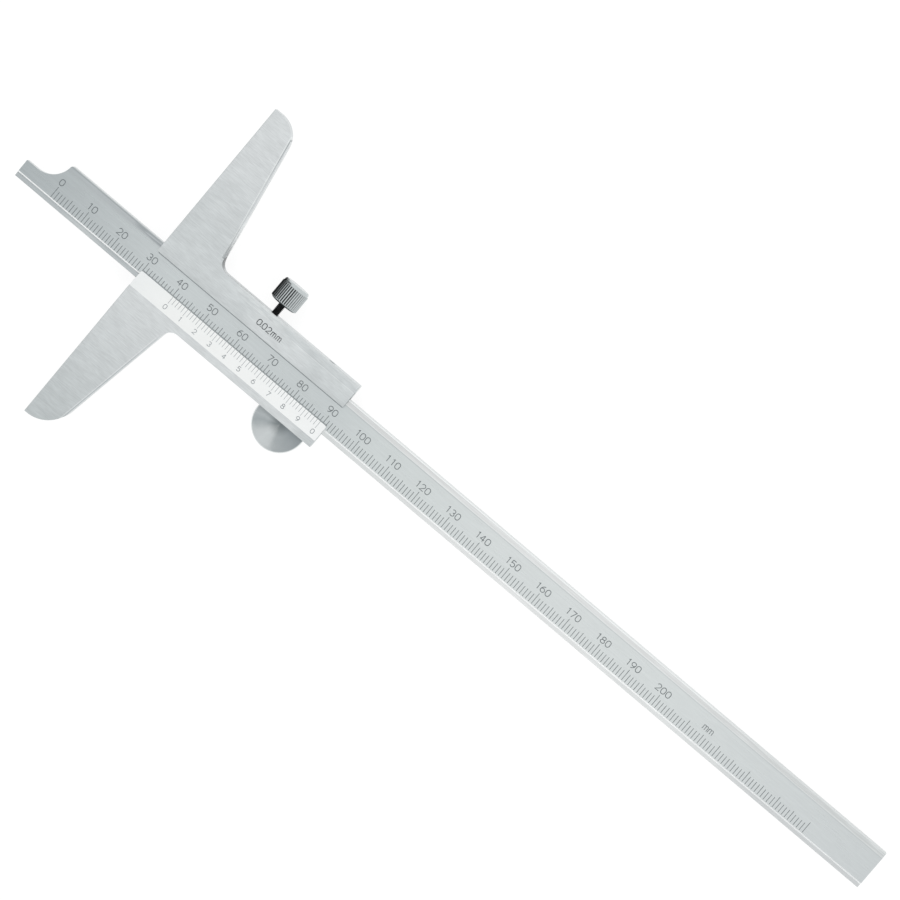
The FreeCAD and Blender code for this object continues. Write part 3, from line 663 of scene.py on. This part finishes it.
def beam_steel():
    """Fine satin steel, in painted shade darker towards the tip, with a ground land above and a ledge
    below.
    """
    f = Finish("satin_rule", roughness=0.3)
    fine = f.noise((3.0, 0.13, 0.13), detail=2.0, seed=5.0)
    grain = f.noise((12.0, 0.5, 0.5), detail=2.0, seed=6.0)
    streak = f.noise((14.0, 0.22, 0.22), detail=3.0, seed=7.0)
    colour = f.ramp(f.x, FACE_TONES)
    colour = paint_land(f, colour, streak)
    colour = paint_upper_edge(f, colour)
    colour = paint_ledge(f, colour, streak)
    # Painted light on the walls facing +Y, darker towards the far end.
    wall = f.both(f.side_wall(), f.fade(f.facing_y, 0.5, 0.9))
    colour = f.tint(colour, wall, (214, 218, 218), f.fade(f.x, *FAR_FADE, 0.8, 1.0))
    colour = f.tint(colour, wall, (200, 204, 204), f.fade(f.x, *FAR_FADE, 0.0, 0.8))
    tip_streak = f.fade(streak, 0.3, 0.7, 0.97, 1.03)
    colour = f.shade(colour, f.math("MAXIMUM", tip_streak, f.fade(f.x, -2, 12, 0.97, 1.0)))
    # Painted shade: the beam a little darker towards its tip.
    factor = f.both(f.fade(f.x, 40, 110, TIP_LEVEL, 1.0), f.swing(fine, 0.03), f.swing(grain, 0.012))
    f.bump(fine, 0.002)
    return f.paint(f.shade(colour, factor), roughness=f.spread(grain, 0.26, 0.34))


# Painted light along the vernier plate, a little lighter away from its start.
PLATE_TONES = [(0, (243, 246, 246)), (12, (247, 249, 248)), (62, (248, 250, 250))]


def vernier_satin():
    """Pale satin chrome with a fine grain, in painted light a little lighter along the plate."""
    f = Finish("pale_satin", roughness=0.42)
    grain = f.noise((0.25, 0.25, 0.25), detail=3.0, seed=8.0)
    broad = f.noise((12.0, 3.0, 3.0), detail=2.0, seed=9.0)
    colour = f.ramp(f.x, PLATE_TONES)
    f.bump(grain, 0.002)
    factor = f.both(PLATE_LEVEL, f.swing(grain, 0.012), f.swing(broad, 0.008))
    return f.paint(f.shade(colour, factor), roughness=f.spread(grain, 0.38, 0.48))


# The disc's sectors, painted in place of its gloss: stops of (angle from +X in degrees, colour).
FAN_TONES = [
    (-180, (168, 174, 176)), (-170, (178, 184, 186)), (-153, (164, 171, 173)), (-125, (196, 201, 202)),
    (-105, (203, 208, 209)), (-84, (197, 202, 203)), (-62, (169, 175, 177)), (0, (149, 156, 159)),
    (180, (168, 174, 176)),
]
FAN_WOBBLE = 6.0


def turned_steel():
    """Bright steel turned on a lathe: rings about the disc's axis, painted reflection in sectors, a painted
    highlight and painted shade.
    """
    f = Finish("turned_steel", roughness=0.3, anisotropic=0.85)
    rim = (disc_high.x - disc_low.x) / 2
    arm = f.arm(((disc_low.x + disc_high.x) / 2, disc_low.y + rim, 0.0), (1.0, 1.0, 0.0))
    radius = f.vector("LENGTH", arm)
    tangent = f.vector("NORMALIZE", f.vector("CROSS_PRODUCT", (0.0, 0.0, 1.0), arm))
    arm_x, arm_y, _ = f.split(arm)
    angle = f.math("DIVIDE", f.math("ARCTAN2", arm_y, arm_x), DEGREE)
    unsteady = f.noise((2.2, 2.2, 2.2), detail=2.0, seed=20.0)
    angle = f.math("ADD", angle, f.spread(unsteady, -FAN_WOBBLE, FAN_WOBBLE))
    rings = f.rings(radius, 3.5, detail=3.0)
    # Painted reflection in light and dark sectors round the axis.
    colour = f.ramp(angle, FAN_TONES)
    # A painted highlight round the rim.
    colour = f.tint(colour, f.fade(radius, rim - 0.28, rim - 0.18), (222, 226, 226))
    # Painted shade round the centre.
    colour = f.tint(colour, f.fade(radius, 3.6, 0.3), (108, 115, 117), 0.7)
    # Painted shadow of the slider along its edge.
    edge = -SLIDER_HALF
    colour = f.tint(colour, f.fade(f.y, edge - 1.4, edge - 0.3, 0.0, 0.14), (84, 92, 94))
    colour = f.tint(colour, f.fade(f.y, edge - 0.45, edge - 0.1), (64, 70, 72), 0.6)
    f.bump(rings, 0.003)
    return f.paint(f.shade(colour, f.swing(rings, 0.05)), tangent=tangent)


def knurled_chrome():
    """Chrome with painted shade in the bottoms of the knurl and on the rim below, and a pale tone painted
    on top as light.

    Its left side is painted darker, for dark surroundings that the studio can't put beside it.
    """
    f = Finish("knurled_chrome", roughness=0.2)
    middle = (knob_low.x + knob_high.x) / 2
    radius = f.vector("LENGTH", f.arm((middle, 0.0, (knob_low.z + knob_high.z) / 2), (1.0, 0.0, 1.0)))
    rim = (knob_high.x - knob_low.x) / 2
    knurled = f.band(f.y, knob_low.y + KNOB_LOWER_CHAMFER, knob_high.y + KNOB_EXCESS - KNOB_COLLAR, 0.1)
    # Painted shade in the bottoms of the knurl, weaker on the right side.
    groove = f.both(f.fade(radius, rim - 0.02, rim - KNURL_DEPTH + 0.06), knurled)
    groove = f.both(groove, f.fade(f.x, middle + 0.3, middle + 2, 1.0, 0.55))
    wear = f.noise((1.2, 1.2, 1.2), detail=3.0, seed=11.0)
    colour = f.shade(linear(200, 206, 207), f.swing(wear, 0.04))
    colour = f.tint(colour, groove, (34, 38, 40), 0.95)
    left_side = f.fade(f.x, middle - 3.1, middle - 2, 0.2, 0.95)
    colour = f.shade(colour, f.math("MAXIMUM", left_side, f.fade(f.z, 0, -1)))
    # A pale tone painted on the top face as light, and painted shade on the rim below.
    colour = f.tint(colour, f.fade(f.facing_y, 0.85, 0.95), (192, 198, 199))
    colour = f.tint(colour, f.fade(f.facing_y, -0.3, -0.5), (104, 111, 113), 0.85)
    f.bump(f.rings(radius, 6.0), 0.003)
    return f.paint(colour)


def black_oxide():
    """Blued steel, a little lighter where wear shows on the thread's crests."""
    f = Finish("black_oxide", metallic=0.6, roughness=0.42)
    mottled = f.noise((0.5, 0.5, 0.5), detail=4.0, seed=12.0)
    colour = f.blend(f.fade(mottled, 0.5, 0.8), linear(24, 26, 27), linear(52, 56, 58))
    return f.paint(colour, roughness=f.spread(mottled, 0.5, 0.36))


def plain_metal(name, colour, seed, stretch=(2.0, 2.0, 0.3)):
    """A machined metal for the small pieces inside and behind."""
    f = Finish(name, roughness=0.34)
    grain = f.noise(stretch, detail=3.0, seed=seed)
    f.bump(grain, 0.003)
    return f.paint(f.shade(colour, f.swing(grain, 0.07)), roughness=f.spread(grain, 0.28, 0.42))


def engraved_paint(name, dark, light, seed):
    """The paint in the engraved lines, matt and thinner in places; also the matt colour of the painted
    shadow strips.
    """
    f = Finish(name, metallic=0.0, roughness=0.6)
    wear_and_shade = f.noise((0.35, 0.35, 0.35), detail=2.0, seed=seed)
    return f.paint(f.blend(f.fade(wear_and_shade, 0.45, 0.75), dark, light))


# ---- pieces --------------------------------------------------------------------------------

def dress_nodes():
    """Give the nodes of the model their finishes; the clamp screw's stud and knob get none, as pieces of
    their own replace them.
    """
    screw = plain_metal("machined_steel", linear(178, 182, 184), 13.0)
    finishes = {
        "base_slider": base_steel(),
        "beam": beam_steel(),
        "vernier_plate": vernier_satin(),
        "vernier_screws": screw,
        "gib_spring": plain_metal("spring_bronze", linear(205, 160, 104), 14.0, stretch=(6.0, 0.4, 0.2)),
        "gib_screw": screw,
        "clamp_pad": plain_metal("turned_brass", linear(212, 182, 112), 15.0),
        "thumb_disc": turned_steel(),
        "thumb_disc_screws": screw,
    }
    for name, material in finishes.items():
        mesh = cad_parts[name].data
        mesh.materials.clear()
        mesh.materials.append(material)


def mark_beam():
    """The millimetre scale along the beam, numbered every 10 mm."""
    marks = Marks(lambda y: beam_front)
    zero = beam_low.x + ZERO_FROM_TIP
    for number in range(BEAM_TICKS + 1):
        length = length_for(number, TICK_LENGTHS)
        marks.bar(zero + number, TICK_START, TICK_START + length, TICK_WIDTH)
    for number in range(0, LAST_NUMBER + 1, 10):
        marks.text(str(number), zero + number, NUMBER_BOTTOM, NUMBER_HEIGHT, NUMBER_STROKE, DIGIT_PITCH)
    marks.text("mm", zero + UNIT_PLACE, UNIT_BOTTOM, NUMBER_HEIGHT, UNIT_STROKE, UNIT_PITCH)
    paint = engraved_paint("scale_paint", linear(92, 98, 101), linear(122, 129, 132), 16.0)
    marks.finish("beam_scale", "beam", paint)


def mark_vernier():
    """The vernier scale: 50 divisions in 49 mm, numbered every tenth of a millimetre."""
    slope = (front - PLATE_EDGE_TOP) / (plate_low.y - plate_high.y)
    lines = Marks(lambda y: PLATE_EDGE_TOP + (y - plate_high.y) * slope)
    numbers = Marks(lines.surface)
    for number in range(VERNIER_TICKS + 1):
        x = VERNIER_ZERO + number * VERNIER_PITCH
        length = length_for(number, VERNIER_TICK_LENGTHS)
        lines.bar(x, plate_high.y - length, plate_high.y - 0.02, VERNIER_TICK_WIDTH)
        if number % 5 == 0:
            digit = str(number // 5 % 10)
            numbers.text(digit, x, VERNIER_NUMBER_BOTTOM, VERNIER_NUMBER_HEIGHT, VERNIER_STROKE)
    pale = engraved_paint("vernier_line_paint", linear(156, 162, 164), linear(174, 180, 182), 17.0)
    lines.finish("vernier_lines", "base", pale)
    paint = engraved_paint("vernier_number_paint", linear(150, 156, 159), linear(168, 174, 176), 21.0)
    numbers.finish("vernier_numbers", "base", paint)


def make_lip(name, ends, section, material):
    """A thin lip on the base, along the beam, from the four (y, z) corners of its section."""
    vertices = [(x, y, z) for x in ends for y, z in section]
    faces = [(i, (i + 1) % 4, (i + 1) % 4 + 4, i + 4) for i in range(4)]
    faces += [(3, 2, 1, 0), (4, 5, 6, 7)]
    make_piece(name, vertices, faces, "base", material)


def make_lips():
    """Dark strips clear of the beam: the plate's reading edge with painted shadow, and painted shadow at
    the window's edge.
    """
    y0, y1 = plate_high.y - EDGE_OVERLAP, plate_high.y + READING_EDGE_WIDTH
    z0, z1, z2 = plate_low.z, PLATE_EDGE_TOP - 0.1, PLATE_EDGE_TOP - 0.01
    # The plate's thin reading edge, and painted shadow beside it.
    edge_and_shade = engraved_paint("plate_edge_and_shade", linear(152, 159, 161), linear(166, 172, 174), 22.0)
    ends = (plate_low.x + 0.05, plate_high.x - 0.05)
    make_lip("reading_edge_and_shadow", ends, [(y0, z0), (y1, z0), (y1, z1), (y0, z2)], edge_and_shade)
    y0, y1 = WINDOW_EDGE - WINDOW_EDGE_WIDTH, WINDOW_EDGE + EDGE_OVERLAP
    z0, z1, z2 = beam_front + 0.1, front - LIP_DROP - 0.15, front - LIP_DROP - 0.05
    # Painted shadow under the lip at the window's edge.
    shaded = engraved_paint("shaded_edge", linear(132, 139, 142), linear(150, 157, 160), 23.0)
    ends = (0.5, slider_end - 0.1)
    make_lip("window_edge_shadow", ends, [(y0, z0), (y1, z0), (y1, z2), (y0, z1)], shaded)


def mark_reading():
    """The vernier's reading, 0.02 mm, on the slider's lip."""
    slope = LIP_DROP / (RIDGE - WINDOW_EDGE)
    marks = Marks(lambda y: front - (RIDGE - y) * slope)
    for letter, x in READING_PLACES:
        stroke = READING_UNIT_STROKE if letter == "m" else READING_STROKE
        marks.text(letter, x, READING_BOTTOM, READING_HEIGHT, stroke)
    paint = engraved_paint("reading_paint", linear(46, 50, 53), linear(76, 82, 85), 18.0)
    marks.finish("reading_mark", "base", paint)


def make_stud():
    """The clamp screw's thread, cut as a real helix that fades out at both ends."""
    around, per_pitch = 40, 8
    centre = (stud_low + stud_high) / 2
    radius = (stud_high.x - stud_low.x) / 2
    length = stud_high.y - stud_low.y
    rings = round(length / THREAD_PITCH * per_pitch)
    vertices, faces = [], []
    for ring in range(rings + 1):
        along = length * ring / rings
        fade = min(1.0, along / THREAD_PITCH, (length - along) / THREAD_PITCH)
        for step in range(around):
            turn = step / around
            phase = (along / THREAD_PITCH - turn) % 1.0
            cut = THREAD_DEPTH * min(1.0, max(0.0, (abs(phase - 0.5) - CREST_HALF) / FLANK))
            r = radius - (cut if fade >= 1 else THREAD_DEPTH * (1 - fade) + cut * fade)
            angle = 2 * math.pi * turn
            x, z = centre.x + r * math.cos(angle), centre.z + r * math.sin(angle)
            vertices.append((x, stud_low.y + along, z))
    for ring in range(rings):
        for step in range(around):
            a, b = ring * around + step, ring * around + (step + 1) % around
            faces.append((a, a + around, b + around, b))
    faces.append(tuple(range(around)))
    faces.append(tuple(reversed(range(rings * around, (rings + 1) * around))))
    black = black_oxide()
    stud = make_piece("clamp_thread", vertices, faces, "clamp_screw", black,
                      smooth_angle=50)
    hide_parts("clamp_stud")


def make_knob():
    """The clamp screw's head: straight teeth that run out in a smooth collar above."""
    centre = (knob_low + knob_high) / 2
    rim = (knob_high.x - knob_low.x) / 2
    neck = rim - KNURL_DEPTH
    bottom, top = knob_low.y - KNOB_EXCESS, knob_high.y + KNOB_EXCESS
    collar = top - KNOB_COLLAR
    # The turned profile that cuts the teeth off, from below: points of (height, radius).
    limits = [
        (bottom, rim - 0.62), (bottom + 0.07, rim - 0.5), (bottom + 0.36, rim - 0.1),
        (bottom + KNOB_LOWER_CHAMFER, rim), (collar, rim), (collar + 0.12, neck),
        (top - 0.42, neck - 0.02), (top - 0.06, rim - 0.5), (top, rim - 0.6),
    ]
    per_tooth = 10
    around = KNURLS * per_tooth
    vertices, faces = [], []
    for y, limit in limits:
        for step in range(around):
            phase = step / per_tooth % 1.0
            cut = KNURL_DEPTH * max(0.0, 1.0 - abs(phase - 0.5) / KNURL_HALF_WIDTH)
            r = min(limit, rim - cut)
            angle = 2 * math.pi * (step - per_tooth / 2) / around + KNURL_TURN * DEGREE
            vertices.append((centre.x + r * math.sin(angle), y, centre.z + r * math.cos(angle)))
    for ring in range(len(limits) - 1):
        for step in range(around):
            a, b = ring * around + step, ring * around + (step + 1) % around
            faces.append((a, b, b + around, a + around))
    faces.append(tuple(reversed(range(around))))
    faces.append(tuple(range((len(limits) - 1) * around, len(limits) * around)))
    chrome = knurled_chrome()
    knob = make_piece("knurled_knob", vertices, faces, "clamp_screw", chrome,
                      smooth_angle=22)
    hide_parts("clamp_knob")


# ---- studio --------------------------------------------------------------------------------

CAMERA_PLACE = (98.49, 114.07, 1245.5)
CAMERA_AIM = (89.39, 12.29, 0.0)
CAMERA_TURN = 40.29
LENS = 196.66
DIFFUSE_SKY = 0.55

FLOOR_GAP = 0.05
FLOOR_HALF = 6000.0
TABLE_GREY = 0.85
TABLE_GLOW = 1.12
GLOW_SHARE = 0.8

LAMP_AIM = (80, 0, 0)
LAMPS = [
    ("key_light", (-500, 700, 900), (700, 700), 4.0),
    ("fill_light", (900, -300, 900), (900, 900), 3.4),
    ("low_light", (80, -900, 320), (900, 300), 2.5),
]
CARDS = [
    ("grey_card", [(-300, -300, -3), (-300, 330, -3), (-240, 330, 260), (-240, -300, 260)], 0.3),
    ("low_dark_card", [(15.5, 12.6, -3.87), (29, 12.6, -3.87), (29, 22, -3.87), (15.5, 22, -3.87)], 0.02),
]


def make_camera():
    """A long lens above the gauge, turned so that the beam runs down to the right."""
    place, aim = Vector(CAMERA_PLACE), Vector(CAMERA_AIM)
    ahead = (aim - place).normalized()
    level = Vector((math.cos(CAMERA_TURN * DEGREE), math.sin(CAMERA_TURN * DEGREE), 0))
    right = (level - ahead * level.dot(ahead)).normalized()
    up = right.cross(ahead)
    data = bpy.data.cameras.new("camera")
    data.lens = LENS
    data.sensor_width = 36.0
    data.clip_start, data.clip_end = 0.01, 50.0
    camera = bpy.data.objects.new("camera", data)
    rows = [(right[i], up[i], -ahead[i], place[i] * MM) for i in range(3)]
    camera.matrix_world = Matrix(rows + [(0, 0, 0, 1)])
    bpy.context.scene.collection.objects.link(camera)
    bpy.context.scene.camera = camera


def rays(tree, *kinds):
    """One for rays of the kinds named, and zero for all others."""
    path = tree.nodes.new("ShaderNodeLightPath")
    share = path.outputs[f"Is {kinds[0]} Ray"]
    for kind in kinds[1:]:
        larger = tree.nodes.new("ShaderNodeMath")
        larger.operation = "MAXIMUM"
        tree.links.new(share, larger.inputs[0])
        tree.links.new(path.outputs[f"Is {kind} Ray"], larger.inputs[1])
        share = larger.outputs[0]
    return share


def make_world():
    """A white surround for the camera and for reflections, and a softer one for matt surfaces."""
    world = bpy.data.worlds.new("studio")
    world.use_nodes = True
    tree = world.node_tree
    level = tree.nodes.new("ShaderNodeMapRange")
    level.inputs["To Min"].default_value = DIFFUSE_SKY
    level.inputs["To Max"].default_value = 1.0
    tree.links.new(rays(tree, "Camera", "Transmission", "Glossy"), level.inputs["Value"])
    background = tree.nodes["Background"]
    background.inputs["Color"].default_value = (1, 1, 1, 1)
    tree.links.new(level.outputs[0], background.inputs["Strength"])
    bpy.context.scene.world = world


def white_table():
    """A matt white that glows for the camera and for reflections, so that it stays white there."""
    material = bpy.data.materials.new("white_table")
    material.use_nodes = True
    tree = material.node_tree
    matt = tree.nodes["Principled BSDF"]
    matt.inputs["Base Color"].default_value = (TABLE_GREY, TABLE_GREY, TABLE_GREY, 1)
    matt.inputs["Roughness"].default_value = 0.9
    matt.inputs["Specular IOR Level"].default_value = 0.0
    glow = tree.nodes.new("ShaderNodeEmission")
    glow.inputs["Strength"].default_value = TABLE_GLOW
    share = tree.nodes.new("ShaderNodeMath")
    share.operation = "MULTIPLY"
    share.inputs[1].default_value = GLOW_SHARE
    tree.links.new(rays(tree, "Camera", "Glossy"), share.inputs[0])
    mix = tree.nodes.new("ShaderNodeMixShader")
    tree.links.new(share.outputs[0], mix.inputs[0])
    tree.links.new(matt.outputs[0], mix.inputs[1])
    tree.links.new(glow.outputs[0], mix.inputs[2])
    tree.links.new(mix.outputs[0], tree.nodes["Material Output"].inputs["Surface"])
    return material


def make_floor():
    """A plain white table top just under the knob, which still shows the gauge's shadow."""
    height = min(cad_low.z / MM, knob_low.z) - FLOOR_GAP
    far = FLOOR_HALF
    corners = [(-far, -far), (far, -far), (far, far), (-far, far)]
    mesh = bpy.data.meshes.new("floor")
    mesh.from_pydata([Vector((x, y, height)) * MM for x, y in corners], [], [(0, 1, 2, 3)])
    mesh.materials.append(white_table())
    floor = bpy.data.objects.new("floor", mesh)
    bpy.context.scene.collection.objects.link(floor)


def make_lamp(name, place, size, power):
    """A lamp aimed at the gauge, which reflections don't see."""
    data = bpy.data.lights.new(name, "AREA")
    data.shape = "RECTANGLE"
    data.size, data.size_y = size[0] * MM, size[1] * MM
    data.energy = power
    lamp = bpy.data.objects.new(name, data)
    lamp.location = Vector(place) * MM
    lamp.rotation_euler = (Vector(LAMP_AIM) - Vector(place)).to_track_quat("-Z", "Y").to_euler()
    lamp.visible_glossy = False
    bpy.context.scene.collection.objects.link(lamp)


def make_card(name, corners, grey):
    """A dark card beside the gauge, which only reflections see."""
    mesh = bpy.data.meshes.new(name)
    mesh.from_pydata([Vector(c) * MM for c in corners], [], [(0, 1, 2, 3)])
    material = bpy.data.materials.new(name)
    material.use_nodes = True
    surface = material.node_tree.nodes["Principled BSDF"]
    surface.inputs["Base Color"].default_value = (grey, grey, grey, 1)
    mesh.materials.append(material)
    card = bpy.data.objects.new(name, mesh)
    card.visible_camera = False
    card.visible_diffuse = False
    card.visible_shadow = False
    bpy.context.scene.collection.objects.link(card)


dress_nodes()
mark_beam()
mark_vernier()
mark_reading()
make_lips()
make_stud()
make_knob()

make_camera()
make_world()
make_floor()
for name, place, size, power in LAMPS:
    make_lamp(name, place, size, power)
for name, corners, grey in CARDS:
    make_card(name, corners, grey)

bpy.context.scene.view_settings.view_transform = "Standard"
